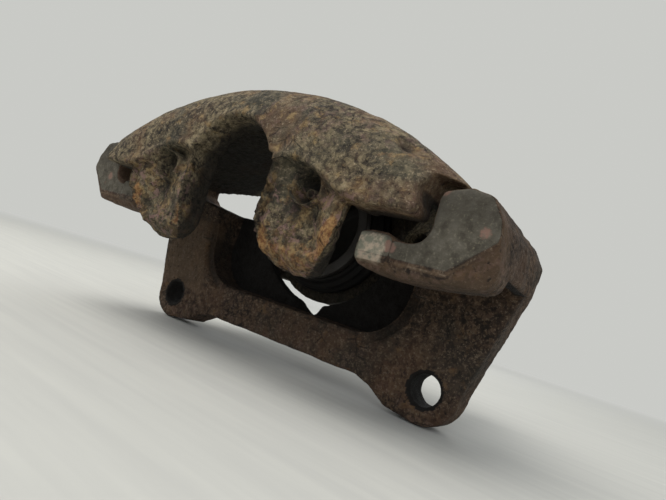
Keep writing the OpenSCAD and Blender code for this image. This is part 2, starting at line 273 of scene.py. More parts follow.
def rustedCastIron(name, look):
    # sand-cast grey iron, rusted through: no metal shine left, a grainy crust, ochre blooms and dust
    m = bpy.data.materials.new(name)
    m.use_nodes = True
    t = m.node_tree
    t.nodes.clear()
    place = addNode(t, "ShaderNodeTexCoord").outputs["Object"]

    def clouds(size, detail=3, rough=0.55, warp=0.0):
        n = addNode(t, "ShaderNodeTexNoise", {"Scale": perMm(size), "Detail": detail, "Roughness": rough,
                                              "Distortion": warp}, {"Vector": place})
        return n.outputs[0]

    def attribute(kind):
        return addNode(t, "ShaderNodeAttribute", {"attribute_name": kind}).outputs["Fac"]

    def maths(kind, a, b=None, clamp=False):
        n = addNode(t, "ShaderNodeMath", {"operation": kind, "use_clamp": clamp})
        for i, v in enumerate((a, b)):
            if v is None:
                continue
            if isinstance(v, (int, float)):
                n.inputs[i].default_value = v
            else:
                t.links.new(v, n.inputs[i])
        return n.outputs[0]

    def between(source, low, high):
        n = addNode(t, "ShaderNodeMapRange", {"From Min": low, "From Max": high,
                                              "interpolation_type": "SMOOTHSTEP"}, {"Value": source})
        return n.outputs[0]

    def mixed(factor, a, b, how="MIX"):
        n = addNode(t, "ShaderNodeMix", {"data_type": "RGBA", "blend_type": how})
        for i, v in ((0, factor), (6, a), (7, b)):
            if isinstance(v, str):
                n.inputs[i].default_value = colour(v)
            elif isinstance(v, (int, float)):
                n.inputs[i].default_value = v
            else:
                t.links.new(v, n.inputs[i])
        return n.outputs[2]

    patch = clouds(look["patchMm"], 3, 0.6)
    mottle = clouds(look["mottleMm"], 8, 0.72)
    fine = clouds(1.3, 5, 0.7)
    speck = clouds(look["speckMm"], 3, 0.7)
    tone = maths("ADD", maths("MULTIPLY", patch, 0.3), maths("MULTIPLY", mottle, 0.7))
    crust = addNode(t, "ShaderNodeValToRGB", {"stops": [(0.38, look["dark"]), (0.455, look["deep"]),
                    (0.52, look["mid"]), (0.61, look["pale"])]}, {"Fac": tone}).outputs[0]
    # flakes of crust, each a little paler or darker than the next
    flakes = addNode(t, "ShaderNodeTexVoronoi", {"Scale": perMm(1.25)}, {"Vector": place})
    flake = addNode(t, "ShaderNodeSeparateColor", {}, {0: flakes.outputs["Color"]}).outputs[0]
    crust = mixed(maths("MULTIPLY", between(flake, 0.62, 0.95), 0.45), crust, look["pale"])
    crust = mixed(maths("MULTIPLY", between(flake, 0.4, 0.05), 0.5), crust, look["dark"])
    # the colour drifts slowly from greenish grey to red-brown
    drift = maths("MULTIPLY", between(clouds(look["wideMm"], 3, 0.5), 0.46, 0.6), 0.6)
    crust = mixed(drift, crust, look["wide"])
    warmth = maths("ADD", clouds(look["warmMm"], 5, 0.62), maths("MULTIPLY", attribute("red"), 0.2))
    warm = between(warmth, 0.5, 0.68)
    crust = mixed(maths("MULTIPLY", warm, 0.4), crust, look["warm"])
    # dust grains that stand pale on the crust
    grains = maths("MULTIPLY", between(speck, 0.53, 0.66), between(mottle, 0.42, 0.58))
    shade = mixed(maths("MULTIPLY", grains, 0.75), crust, look["speck"])
    # ochre blooms, broken up by dark scabs and pinkish-grey scale
    bloomNoise = clouds(look["bloomMm"], 6, 0.66)
    bloomReach = maths("ADD", bloomNoise, maths("MULTIPLY", attribute("ochre"), 0.09))
    bloom = between(bloomReach, look["bloomAt"], look["bloomAt"] + 0.1)
    bloomTone = maths("ADD", maths("MULTIPLY", clouds(3.1, 5, 0.7), 0.6), maths("MULTIPLY", fine, 0.4))
    ochre = mixed(between(bloomTone, 0.42, 0.58), look["bloom"], look["bloomPale"])
    shade = mixed(maths("MULTIPLY", bloom, 0.85), shade, ochre)
    scab = maths("MULTIPLY", between(clouds(5.0, 6, 0.72), 0.53, 0.43), attribute("ochre"))
    shade = mixed(maths("MULTIPLY", scab, 0.5), shade, look["dark"])
    scale = maths("MULTIPLY", between(clouds(4.3, 5, 0.7, 0.3), 0.53, 0.6), attribute("ochre"))
    shade = mixed(maths("MULTIPLY", scale, 0.6), shade, "#7b615b")
    # bright orange-tan rust where a finger stands proud, and a painted highlight along the lip's bead
    proud = maths("ADD", attribute("glow"), maths("SUBTRACT", clouds(3.2, 5, 0.7), 0.5))
    glow = mixed(between(fine, 0.42, 0.58), "#70482a", "#9b7647")
    shade = mixed(maths("MULTIPLY", between(proud, 0.4, 0.75), 0.75), shade, glow)
    # rubbed or machined faces, greyer and plainer
    bareTone = addNode(t, "ShaderNodeValToRGB", {"stops": [(0.4, "#37332c"), (0.5, look["bare"]),
                       (0.62, "#545047")]}, {"Fac": tone}).outputs[0]
    bareTone = mixed(maths("MULTIPLY", between(speck, 0.58, 0.68), 0.35), bareTone, "#77725f")
    bareReach = maths("ADD", maths("MULTIPLY", attribute("bare"), 1.2), maths("MULTIPLY", mottle, 0.4))
    bareMask = between(bareReach, 0.62, 0.95)
    shade = mixed(bareMask, shade, bareTone)
    # pinkish-brown spots that have broken through it
    spots = addNode(t, "ShaderNodeTexVoronoi", {"Scale": perMm(10), "Randomness": 1.0}, {"Vector": place})
    spotMask = maths("MULTIPLY", between(maths("ADD", spots.outputs["Distance"],
                     maths("MULTIPLY", mottle, 0.5)), 0.49, 0.4), attribute("bare"))
    shade = mixed(maths("MULTIPLY", spotMask, 0.75), shade, "#7d6055")
    # pale worn patch at the horn's tip
    wornNoise = maths("MULTIPLY", clouds(3.4, 5, 0.7), 0.9)
    rubbed = maths("ADD", maths("MULTIPLY", attribute("worn"), 0.7), wornNoise)
    patchTone = mixed(between(clouds(3.0, 5, 0.65), 0.42, 0.6), "#727264", "#a89987")
    shade = mixed(maths("MULTIPLY", between(rubbed, 0.85, 1.2), 0.85), shade, patchTone)
    # short cracks in the thick scale
    seams = addNode(t, "ShaderNodeTexVoronoi", {"feature": "DISTANCE_TO_EDGE", "Scale": perMm(7)},
                    {"Vector": place})
    seamWidth = maths("ADD", seams.outputs["Distance"], maths("MULTIPLY", fine, 0.1))
    seam = maths("MULTIPLY", between(seamWidth, 0.085, 0.055), between(clouds(17, 2, 0.5), 0.58, 0.63))
    seam = maths("MULTIPLY", seam, maths("SUBTRACT", 1.0, attribute("bare"), True))
    shade = mixed(maths("MULTIPLY", seam, 0.55), shade, "#0d0b0a")
    # painted shade darkens the hollows; corners are rubbed a little paler, and the carrier's left leg gets
    # painted light
    shade = mixed(between(attribute("hollow"), 0.15, 0.9), shade, look["dark"])
    shade = mixed(maths("MULTIPLY", between(attribute("edge"), 0.25, 0.9), 0.5), shade, look["pale"])
    # black pits in the crust
    rough = maths("SUBTRACT", 1.0, bareMask)
    pits = maths("MULTIPLY", between(clouds(1.7, 2, 0.5), 0.36, 0.27), rough)
    shade = mixed(maths("MULTIPLY", pits, 0.75), shade, look["dark"])
    # grease and brake dust on the cylinder's back, with painted shade under the arch, in the bores, pockets,
    # dent, window and disc slot and on the fingers' sides
    soot = between(maths("ADD", attribute("soot"), maths("MULTIPLY", tone, 0.5)), 0.45, 1.1)
    shade = mixed(soot, shade, "#110e0b")

    grain = maths("ADD", maths("MULTIPLY", fine, 0.6), maths("MULTIPLY", clouds(2.2, 6, 0.66), 1.0))
    grain = maths("ADD", grain, maths("MULTIPLY", flake, 0.12))
    grain = maths("SUBTRACT", grain, maths("MULTIPLY", maths("MAXIMUM", pits, seam), 0.4))
    calm = maths("SUBTRACT", 1.0, maths("MULTIPLY", bareMask, 0.75))
    bump = addNode(t, "ShaderNodeBump", {"Strength": 1.0, "Distance": 1.1 * mm},
                   {"Height": maths("MULTIPLY", grain, calm)})
    sheen = addNode(t, "ShaderNodeMapRange",
                    {"From Min": 0.4, "From Max": 0.62,
                     "To Min": look["rough"] + 0.08, "To Max": look["rough"] - 0.12},
                    {"Value": mottle})
    skin = addNode(t, "ShaderNodeBsdfPrincipled", {"Metallic": 0.0, "Specular IOR Level": 0.3},
                   {"Base Color": shade, "Roughness": sheen.outputs[0], "Normal": bump.outputs[0]})
    addNode(t, "ShaderNodeOutputMaterial", {}, {"Surface": skin.outputs[0]})
    return m


def castShell(nodeName, name, cast):
    # the CAD solid as a casting: even skin, rounded edges, crisp bores
    piece = mergedCopy(nodeName, name)
    remesh = piece.modifiers.new("skin", "REMESH")
    remesh.mode = "VOXEL"
    remesh.voxel_size = cast["voxel"] * mm
    piece = evaluated(piece, name)
    points = coordsOf(piece.data)
    crisp = np.zeros(len(points))
    for x, z, radius, low, high in cast["bores"]:
        away = np.hypot(points[:, 0] - x, points[:, 2] - z)
        inside = (np.abs(away - radius) < 1.6) & (points[:, 1] > low - 1) & (points[:, 1] < high + 1)
        crisp = np.maximum(crisp, inside.astype(float))
    group = piece.vertex_groups.new(name="cast")
    steps = 8
    for level in range(steps + 1):
        chosen = np.nonzero(np.round((1 - 0.8 * crisp) * steps) == level)[0]
        group.add([int(i) for i in chosen], level / steps, "REPLACE")
    even = piece.modifiers.new("rounding", "SMOOTH")
    even.factor = 0.5
    even.iterations = cast["rounds"]
    even.vertex_group = "cast"
    piece = evaluated(piece, name)
    piece.vertex_groups.clear()
    # how far each point moved tells corners from hollows
    moved = coordsOf(piece.data)
    lean = np.einsum("ij,ij->i", points - moved, normalsOf(piece.data))
    storeFloat(piece.data, "edge", np.clip(lean / cast["edgeMm"], 0, 1))
    # hollow marks concave places for painted shade; edge marks corners for rubbed wear
    storeFloat(piece.data, "hollow", np.clip(-lean / cast["hollowMm"] - 0.1, 0, 1))
    return piece, 1 - crisp


def boxMask(p, low, high, soft):
    # 1 inside the box, fading over soft millimetres outside
    far = np.maximum(np.maximum(np.array(low) - p, p - np.array(high)), 0)
    return 1 - smooth(0, soft, np.linalg.norm(far, axis=1))


housingCast = {
    "voxel": 0.82, "quickVoxel": 1.5, "rounds": 5, "quickRounds": 2, "edgeMm": 0.6, "hollowMm": 0.8,
    # x, z, radius, from y, to y of the machined bores, in mm
    "bores": [(0, 56, 27.05, 7, 50), (0, 56, 31.5, 7, 13), (70, 38, 9, 20, 48), (-70, 38, 9, 20, 48),
              (-13, 67, 5, 52, 64)],
    "lipTop": 65, "lipDip": 1.5, "lipFall": 10.5, "lipDepth": 5.4, "lipSharp": 1.0, "grooveDepth": 3.1,
    "dentX": 69, "dentY": -67.5, "dentZ": 77, "dentLong": 4.6, "dentWide": 2.6, "dentDepth": 3.0,
    "skinLumpMm": 0.30, "fingerLumpMm": 1.1, "grainMm": 0.10,
    "archZ": 58.5, "archR": 22.4, "pocketX": 38, "pocketZ": 59,
    "portX": -13, "portZ": 67, "bleedX": 14, "bleedY": 47,
    "triangles": 188000,
}


discAxisZ = -52  # height of the brake disc's axis under the carrier's origin, in mm


def lipHeight(x, cast):
    # height of the cast lip over a finger's sunken front: it dips at the arch and falls away outwards
    ax = np.abs(x)
    return cast["lipTop"] - cast["lipDip"] * smooth(29, 22, ax) - cast["lipFall"] * smooth(32, 60, ax)


def shapeHousing(piece, cast, free):
    mesh = piece.data
    p = coordsOf(mesh)
    n = normalsOf(mesh)
    ax = np.abs(p[:, 0])
    front = smooth(0.25, 0.7, -n[:, 1]) * smooth(-69, -72, p[:, 1])
    # finger fronts lie below the lip
    below = smooth(0.0, cast["lipSharp"], lipHeight(p[:, 0], cast) - p[:, 2])
    across = smooth(60.5, 57.5, ax)
    fade = smooth(28, 46, p[:, 2])
    sunk = front * below * across * (0.1 + 0.9 * fade) * cast["lipDepth"]
    # ridges stay proud on both sides of the channel that runs down from the pocket
    outerRidge = 0.6 * np.exp(-((ax - 53) / 4.5) ** 2) * smooth(59, 52, p[:, 2])
    sunk *= 1 - outerRidge - 0.25 * np.exp(-((ax - 25.5) / 3.0) ** 2)
    channelX = 38.5 + (56 - p[:, 2]) * 0.28
    groove = np.exp(-((ax - channelX) / 4.8) ** 2) * smooth(67, 61, p[:, 2]) * smooth(31, 43, p[:, 2])
    sunk += front * below * across * groove * cast["grooveDepth"]
    # slight raised bead along the arch and the lip
    away = np.hypot(p[:, 0], p[:, 2] - cast["archZ"])
    bead = front * np.exp(-((away - cast["archR"]) / 1.5) ** 2) * smooth(56, 62, p[:, 2]) * 0.7
    aboveLip = p[:, 2] - lipHeight(p[:, 0], cast) - 1.6
    bead = np.maximum(bead, front * across * np.exp(-(aboveLip / 1.3) ** 2) * 0.6)
    q = p.copy()
    q[:, 1] += sunk - bead
    # a dent in the shoulder, and an even skin above it
    reach = np.hypot(p[:, 0], p[:, 2] - discAxisZ)
    even = boxMask(p, (50, -58, 75), (66, -42, 105), 3) * smooth(145, 147, reach)
    out = np.stack([p[:, 0] / reach, np.zeros(len(p)), (p[:, 2] - discAxisZ) / reach], 1)
    q += out * (even * np.clip(150 - reach, 0, 3))[:, None]
    d = p - np.array([cast["dentX"], cast["dentY"], cast["dentZ"]])
    # the dent runs along the shoulder's rim, square to the disc's radius
    rise = cast["dentZ"] - discAxisZ
    along = (d[:, 0] * rise - d[:, 2] * cast["dentX"]) / math.hypot(cast["dentX"], rise)
    dent = np.exp(-(along / cast["dentLong"]) ** 2 - (d[:, 1] / cast["dentWide"]) ** 2)
    dent *= np.abs(d[:, 2]) < 9
    q -= n * (dent * cast["dentDepth"])[:, None]
    lump = free * (bumps(p, 13, 1) * cast["skinLumpMm"] + bumps(p, 5.2, 2) * cast["skinLumpMm"] * 0.5)
    fingers = boxMask(p, (-62, -77, 26), (62, -62, 54), 5) * free
    fingers = fingers * smooth(-1.2, 0.4, lipHeight(p[:, 0], cast) - p[:, 2])
    crag = 0.35 - np.abs(bumps(p, 6.5, 4))
    lump += fingers * (bumps(p, 9.5, 3) * cast["fingerLumpMm"] + crag * cast["fingerLumpMm"] * 1.1
                       + bumps(p, 3.4, 6) * cast["fingerLumpMm"] * 0.35)
    grain = free * lumps(p, 2.6, 5, 2) * cast["grainMm"] * (1 + 1.8 * fingers)
    q += n * (lump + grain)[:, None]
    setCoords(mesh, q)
    # the pocket's rim is worn away and runs out into the channel
    pocketRim = boxMask(p, (30, -78, 46), (48, -62, 59), 3) + boxMask(p, (-48, -78, 46), (-30, -62, 59), 3)
    worn = piece.vertex_groups.new(name="pocketRim")
    for i in np.nonzero(pocketRim > 0.02)[0]:
        worn.add([int(i)], float(pocketRim[i]), "REPLACE")
    facing = smooth(0.1, 0.6, -n[:, 1])
    run = boxMask(p, (15, -77, 76), (80, -40, 100), 10) * 0.45
    storeFloat(mesh, "ochre", np.clip(fingers * (0.25 + 0.75 * facing) + 0.4 * bead + run
               + 0.35 * smooth(66, 56, p[:, 2]) * smooth(-40, -60, p[:, 1]), 0, 1.2))
    # orange on the outer bulge and the lower rim, less of it on the left finger
    glow = 0.95 * np.exp(-((ax - 53) / 4.5) ** 2 - ((p[:, 2] - 43) / 7.5) ** 2)
    glow += 0.55 * smooth(46, 33, p[:, 2])
    glow += 0.35 * np.exp(-((ax - 24) / 3) ** 2) * smooth(28, 36, p[:, 2])
    glow *= np.where(p[:, 0] > 0, 1, 0.7)
    # rust streaks on the right shoulder
    streak = 0.36 * boxMask(p, (40, -77, 80), (60, -62, 92), 7)
    # the bead's share is a painted highlight along the lip and arch
    storeFloat(mesh, "glow", fingers * facing * glow + 0.55 * bead + streak)
    wing = boxMask(p, (62, -77, 50), (82, -60, 60), 5)
    storeFloat(mesh, "red", np.clip(dent * 1.5 + 0.5 * run + 0.5 * wing, 0, 1))
    # spot-faced seats of the hose port and the bleed screw
    portAway = np.hypot(p[:, 0] - cast["portX"], p[:, 2] - cast["portZ"])
    bleedAway = np.hypot(p[:, 0] - cast["bleedX"], p[:, 1] - cast["bleedY"])
    seats = smooth(9.5, 8.5, portAway) * smooth(0.8, 0.95, n[:, 1]) * (p[:, 1] > 55)
    seats += smooth(8.5, 7.5, bleedAway) * smooth(0.8, 0.95, n[:, 2]) * (p[:, 2] > 94)
    storeFloat(mesh, "bare", seats)
    storeFloat(mesh, "worn", np.zeros(len(p)))
    # painted shade under the arch and inside the cylinder
    inner = smooth(-74, -66, p[:, 1]) * smooth(141, 138.6, reach)
    inner *= np.maximum(smooth(20, 8, p[:, 1]), smooth(0.2, 0.6, -n[:, 1]))
    # painted shade on the fingers' side faces
    shadedSides = fingers * smooth(0.45, 0.85, np.abs(n[:, 0])) * 0.32
    # painted shade in the pockets at the channels' heads
    pocketShape = ((ax - cast["pocketX"]) / 7.5) ** 2 + ((p[:, 2] - cast["pocketZ"]) / 5.5) ** 2
    pocket = front * below * np.exp(-pocketShape) * 0.8
    # grime runs from each pocket towards the left
    grimeX = 37 + np.where(p[:, 0] > 0, -0.3, 0.25) * (56 - p[:, 2])
    grime = fingers * facing * np.exp(-((ax - grimeX) / 4.2) ** 2) * smooth(38, 50, p[:, 2]) * 0.72
    pocket = np.maximum(pocket, grime)
    # painted shade: arch, finger sides, pockets and bores, then the dent
    soot = np.maximum(np.maximum(inner * 0.68, shadedSides), np.maximum(pocket, 0.6 * (1 - free)))
    soot = np.maximum(soot, dent * 0.7)
    # old grease and brake dust on the cylinder's side, clear of the spot faces
    greasy = smooth(0, 24, p[:, 1]) * (0.42 + 0.3 * bumps(p, 20, 8)) * (1 - seats)
    soot = np.maximum(soot, greasy)
    storeFloat(mesh, "soot", soot * (1 - 0.8 * fingers * facing * (pocket < 0.2)))
    worn = piece.modifiers.new("wornRim", "SMOOTH")
    worn.factor = 0.6
    worn.iterations = 12
    worn.vertex_group = "pocketRim"
    count = len(mesh.polygons) * 2
    if count > cast["triangles"]:
        fewer = piece.modifiers.new("fewer", "DECIMATE")
        fewer.ratio = cast["triangles"] / count
    piece = evaluated(piece, piece.name)
    piece.vertex_groups.clear()
    return piece


housingIron = rustedCastIron("rustedCastIronHousing", ironLooks["housing"])
housingPiece, housingFree = castShell("housing", "housingCasting", housingCast)
housingPiece = shapeHousing(housingPiece, housingCast, housingFree)
finished(housingPiece, housingIron, "housing", "cast_iron_housing", "housing")

carrierCast = {
    "voxel": 0.8, "quickVoxel": 1.3, "rounds": 7, "quickRounds": 2, "edgeMm": 0.7, "hollowMm": 0.9,
    "bores": [(77, 0, 6.3, -14, 0), (-77, 0, 6.3, -14, 0), (70, 38, 4.5, -9, 12), (-70, 38, 4.5, -9, 12)],
    "windowBevel": 5.5, "skinLumpMm": 0.35, "grainMm": 0.10,
}


def shapeCarrier(piece, cast, free):
    mesh = piece.data
    p = coordsOf(mesh)
    n = normalsOf(mesh)
    ax = np.abs(p[:, 0])
    q = p.copy()
    # distance outwards from the window's edge, a box with rounded lower corners
    cx = np.maximum(ax - 38, 0)
    cz = np.maximum(34.5 - p[:, 2], 0)
    away = np.hypot(cx, cz) - 22.0
    plateFace = smooth(0.3, 0.8, -n[:, 1]) * smooth(-9, -12, p[:, 1]) * smooth(-17, -15.5, p[:, 1])
    # a sunken ledge round the window's lower corners
    ledge = plateFace * smooth(cast["windowBevel"], cast["windowBevel"] - 1.6, away) * smooth(-3, 0, away)
    ledge *= smooth(0, 14, cx) * smooth(50, 42, p[:, 2])
    q[:, 1] += ledge * 2.0
    hookFace = smooth(0.6, 0.9, -n[:, 1]) * smooth(-64.5, -65.6, p[:, 1])
    lump = free * (bumps(p, 15, 11) * cast["skinLumpMm"] + bumps(p, 5.5, 12) * cast["skinLumpMm"] * 0.5)
    lump *= 1 - 0.8 * hookFace
    side = smooth(0.5, 0.9, np.abs(n[:, 0])) * smooth(-46, -40, p[:, 1]) * smooth(88, 95, ax)
    # faint ribs along the arms' outer sides
    ribs = side * (np.exp(-((p[:, 1] + 18) / 1.6) ** 2) * 0.4 - np.exp(-((p[:, 1] + 25) / 2.2) ** 2) * 0.4
                   + np.exp(-((p[:, 1] + 33) / 2.0) ** 2) * 0.3)
    grain = free * lumps(p, 2.8, 13, 2) * cast["grainMm"] * (1 - 0.6 * hookFace)
    q += n * (lump + grain + ribs)[:, None]
    setCoords(mesh, q)
    lowEdge = smooth(38.5, 41.5, p[:, 2] - np.maximum(ax - 92, 0) * 0.9)
    storeFloat(mesh, "bare", hookFace * lowEdge * np.where(p[:, 0] > 0, 1, 0.8))
    tip = boxMask(p, (60, -71, 38.5), (70, -66.3, 44.5), 5.0) * smooth(-0.4, 0.5, -n[:, 1]) * 1.1
    tip += 0.5 * boxMask(p, (-72, -70, 37), (-60, -66.3, 46), 1.5)
    storeFloat(mesh, "glow", np.zeros(len(p)))
    armRed = 0.3 * smooth(-20, -40, p[:, 1]) * (1 - hookFace)
    storeFloat(mesh, "red", armRed + 0.3 * smooth(14, 0, p[:, 2]))
    armOchre = 0.6 * smooth(-40, -66, p[:, 1]) * (1 - hookFace)
    storeFloat(mesh, "ochre", np.clip(armOchre + 0.2 * smooth(12, 0, p[:, 2]), 0, 1))
    # painted shade inside the window, in the ledge, in the disc slot and on the hooks' back faces
    within = smooth(1.0, -1.0, away) * smooth(11.5, 13.5, p[:, 2]) * smooth(-15, -12, p[:, 1])
    slot = smooth(-48, -46, p[:, 1]) * smooth(-13, -16, p[:, 1])
    inwards = -(n[:, 0] * p[:, 0] + n[:, 2] * (p[:, 2] - discAxisZ)) / np.hypot(p[:, 0], p[:, 2] - discAxisZ)
    slot *= smooth(0.2, 0.7, inwards)
    back = smooth(0.4, 0.8, n[:, 1]) * smooth(-50, -48, p[:, 1]) * smooth(-40, -44, p[:, 1])
    soot = np.maximum(np.maximum(within, ledge * 0.6), np.maximum(slot * 0.8, back * 0.5))
    # darker towards the top of the hook faces
    soot = np.maximum(soot, 0.42 * hookFace * smooth(46, 58, p[:, 2]))
    # painted shade in the bores
    storeFloat(mesh, "soot", np.maximum(soot, 0.8 * (1 - free)))
    rimAway = p[:, 2] - np.maximum(ax - 92, 0) * 0.9 - 38.6
    rim = hookFace * np.exp(-(rimAway / 0.7) ** 2) * smooth(73, 76, ax)
    edge = np.zeros(len(p), np.float32)
    mesh.attributes["edge"].data.foreach_get("value", edge)
    # paler rust on the hooks' lower flanks, and painted light on the left leg
    paleFlanksAndPaintedLight = 0.8 * smooth(-46, -60, p[:, 1]) * (1 - hookFace) + boxMask(p, (-90, -17, 8), (-62, -11, 40), 8)
    storeFloat(mesh, "edge", np.maximum(np.maximum(edge, rim), paleFlanksAndPaintedLight))
    storeFloat(mesh, "worn", np.maximum(tip, rim * 0.8))


bracketIron = rustedCastIron("rustedCastIronBracket", ironLooks["bracket"])
carrierPiece, carrierFree = castShell("carrier", "carrierCasting", carrierCast)
shapeCarrier(carrierPiece, carrierCast, carrierFree)
finished(carrierPiece, bracketIron, "carrier", "cast_iron_bracket", "carrier")
print("castings done")


# turned pieces
def turnedMesh(name, profile, centre, axis, around=96):
    # a closed outline of (radius, distance) in millimetres, turned about an axis along Y or Z
    verts, faces = [], []
    cx, cy, cz = centre
    count = len(profile)
    for i in range(around):
        a = 2 * math.pi * i / around
        c, s = math.cos(a), math.sin(a)
        for r, d in profile:
            if axis == "Y":
                verts.append(((cx + r * c) * mm, d * mm, (cz + r * s) * mm))
            else:
                verts.append(((cx + r * c) * mm, (cy + r * s) * mm, d * mm))
    for i in range(around):
        j = (i + 1) % around
        for k in range(count):
            l = (k + 1) % count
            faces.append((i * count + k, i * count + l, j * count + l, j * count + k))
    mesh = bpy.data.meshes.new(name)
    mesh.from_pydata(verts, [], faces)
    piece = newObject(name, mesh)
    bpy.context.view_layer.objects.active = piece
    weld = piece.modifiers.new("weld", "WELD")
    weld.merge_threshold = 0.001 * mm
    piece = evaluated(piece, name)
    work = piece.data
    shell = bmesh.new()
    shell.from_mesh(work)
    bmesh.ops.dissolve_degenerate(shell, dist=1e-7, edges=shell.edges)
    bmesh.ops.recalc_face_normals(shell, faces=shell.faces)
    shell.to_mesh(work)
    shell.free()
    return piece


def rounded(outline, radius, steps=3):
    # the outline with its corners cut into small arcs; points marked sharp (third value) stay
    out = []
    count = len(outline)
    for i, point in enumerate(outline):
        here = Vector(point[:2])
        if len(point) > 2 or here.x < 1e-6:
            out.append(tuple(here))
            continue
        before = Vector(outline[i - 1][:2])
        after = Vector(outline[(i + 1) % count][:2])
        reach = min(radius, (before - here).length * 0.45, (after - here).length * 0.45)
        a = here + (before - here).normalized() * reach
        b = here + (after - here).normalized() * reach
        for k in range(steps + 1):
            t = k / steps
            out.append(tuple((1 - t) ** 2 * a + 2 * t * (1 - t) * here + t ** 2 * b))
    return out


def plainMaterial(name, base, second, sizeMm, rough, metallic=0.0, bumpMm=0.05,
                  stain=None, stainMm=6, stainAt=(0.5, 0.65), specular=0.5):
    # two tones of one finish, with a stain in patches that takes the metal's shine away
    m = bpy.data.materials.new(name)
    m.use_nodes = True
    t = m.node_tree
    t.nodes.clear()
    place = addNode(t, "ShaderNodeTexCoord").outputs["Object"]
    fine = addNode(t, "ShaderNodeTexNoise", {"Scale": perMm(sizeMm), "Detail": 4, "Roughness": 0.6},
                   {"Vector": place})
    shade = addNode(t, "ShaderNodeValToRGB", {"stops": [(0.35, base), (0.7, second)]},
                    {"Fac": fine.outputs[0]}).outputs[0]
    metal = None
    if stain:
        wide = addNode(t, "ShaderNodeTexNoise", {"Scale": perMm(stainMm), "Detail": 5, "Roughness": 0.65},
                       {"Vector": place})
        mask = addNode(t, "ShaderNodeMapRange", {"From Min": stainAt[0], "From Max": stainAt[1]},
                       {"Value": wide.outputs[0]})
        shade = addNode(t, "ShaderNodeMix", {"data_type": "RGBA", 7: colour(stain)},
                        {0: mask.outputs[0], 6: shade}).outputs[2]
        metal = addNode(t, "ShaderNodeMapRange", {"To Min": metallic, "To Max": 0.0},
                        {"Value": mask.outputs[0]}).outputs[0]
    bump = addNode(t, "ShaderNodeBump", {"Strength": 0.8, "Distance": bumpMm * mm},
                   {"Height": fine.outputs[0]})
    roughness = addNode(t, "ShaderNodeMapRange", {"To Min": rough - 0.08, "To Max": rough + 0.1},
                        {"Value": fine.outputs[0]})
    skin = addNode(t, "ShaderNodeBsdfPrincipled", {"Metallic": metallic, "Specular IOR Level": specular},
                   {"Base Color": shade, "Normal": bump.outputs[0], "Roughness": roughness.outputs[0]})
    if metal:
        t.links.new(metal, skin.inputs["Metallic"])
    addNode(t, "ShaderNodeOutputMaterial", {}, {"Surface": skin.outputs[0]})
    return m


# piston: turned steel, its chrome dulled brown by heat and brake dust, and darkened to near black as painted
# shade
pistonSteel = plainMaterial("stainedAndShadedTurnedSteel", "#1b1815", "#2e2a26", 3, 0.55, 0.4, 0.03,
                            "#17110d", 9, (0.42, 0.6))
# guide pins: zinc-plated steel under grease film
pinSteel = plainMaterial("zincPlatedSteel", "#5f5a51", "#7b756a", 2, 0.42, 0.85, 0.02,
                         "#3f3022", 7, (0.45, 0.62))
# bleed screw: plated steel, rusting at its corners
bleedSteel = plainMaterial("platedBleedSteel", "#8d8268", "#a89c80", 2, 0.4, 0.85, 0.03,
                           "#60442c", 4, (0.5, 0.66))
# EPDM rubber: black with grey brake dust
rubberSkin = plainMaterial("mouldedBlackRubber", "#080707", "#100e0d", 1.6, 0.7, 0.0, 0.05,
                           "#1b1612", 8, (0.5, 0.72), 0.22)
# nylon: black moulded caps
capNylon = plainMaterial("mouldedBlackNylon", "#1a1a19", "#2a2927", 1.2, 0.5, 0.0, 0.03,
                         "#4a4035", 7, (0.55, 0.75))

# sizes of the turned pieces are in millimetres
pistonCup = {"radius": 27, "wall": 5, "mouth": -8, "length": 50,
             "grooveAt": -4, "grooveWide": 4, "grooveDeep": 1.5,
             "leadIn": 1.5, "runningGap": 0.22}


def makePiston(c):
    r, y0 = c["radius"], c["mouth"]
    inner = r - c["wall"]
    y1 = y0 + c["length"]
    g0, g1 = c["grooveAt"], c["grooveAt"] + c["grooveWide"]
    sliding = r - c["runningGap"]
    outline = [(inner, y0), (r, y0), (r, g0), (r - c["grooveDeep"], g0), (r - c["grooveDeep"], g1),
               (sliding, g1), (sliding, y1 - c["leadIn"]), (sliding - c["leadIn"], y1),
               (0, y1), (0, y1 - 6), (inner - 3, y1 - 6), (inner, y1 - 9),
               (inner, y0 + 6), (inner - 0.7, y0 + 5.2), (inner - 0.7, y0 + 2.5), (inner, y0 + 1.7)]
    piece = turnedMesh("pistonCup", rounded(outline, 0.7), (0, 0, 56), "Y", 128)
    return finished(piece, pistonSteel, "piston", "piston_steel", "piston")


makePiston(pistonCup)

bellows = {"lipIn": 27.15, "lipOut": 31.2, "mouthY": 8.2, "backY": 11.8,
           "folds": 2, "low": 28.2, "high": 32.4,
           "fromY": 6.6, "toY": -2.2, "wall": 0.75, "ringIn": 25.7, "ringY": (-3.8, -0.3)}


def makeBoot(c):
    # moulded bellows: bead in the cylinder's mouth, folds, bead in the piston's groove
    steps = c["folds"] * 14
    outer, inner = [], []
    for i in range(steps + 1):
        t = i / steps
        y = c["fromY"] + (c["toY"] - c["fromY"]) * t
        wave = 0.5 - 0.5 * math.cos(2 * math.pi * c["folds"] * t)
        high = c["high"] - 2.2 * t
        r = c["low"] + (high - c["low"]) * wave
        outer.append((r + c["wall"] / 2, y))
        inner.append((max(r - c["wall"] / 2, 27.2), y))
    ringLow, ringHigh = c["ringY"]
    outline = ([(c["lipIn"], c["backY"]), (c["lipOut"], c["backY"]), (c["lipOut"], c["mouthY"]),
                (29.6, c["mouthY"] - 0.6)] + outer
               + [(27.9, ringLow), (c["ringIn"], ringLow), (c["ringIn"], ringHigh), (27.15, ringHigh)]
               + inner[::-1] + [(c["lipIn"], c["mouthY"])])
    piece = turnedMesh("dustBootBellows", outline, (0, 0, 56), "Y", 144)
    finished(piece, rubberSkin, None, "rubber", "dust_boot")
    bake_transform(piece)


makeBoot(bellows)

guideSet = {"x": 70, "z": 38, "bushR": 9, "bushStart": 16, "earY": 20, "bushEnd": 50,
            "capEnd": 61, "capR": 10.5, "ribs": 18, "ribLong": 7.0, "ribThick": 0.9}


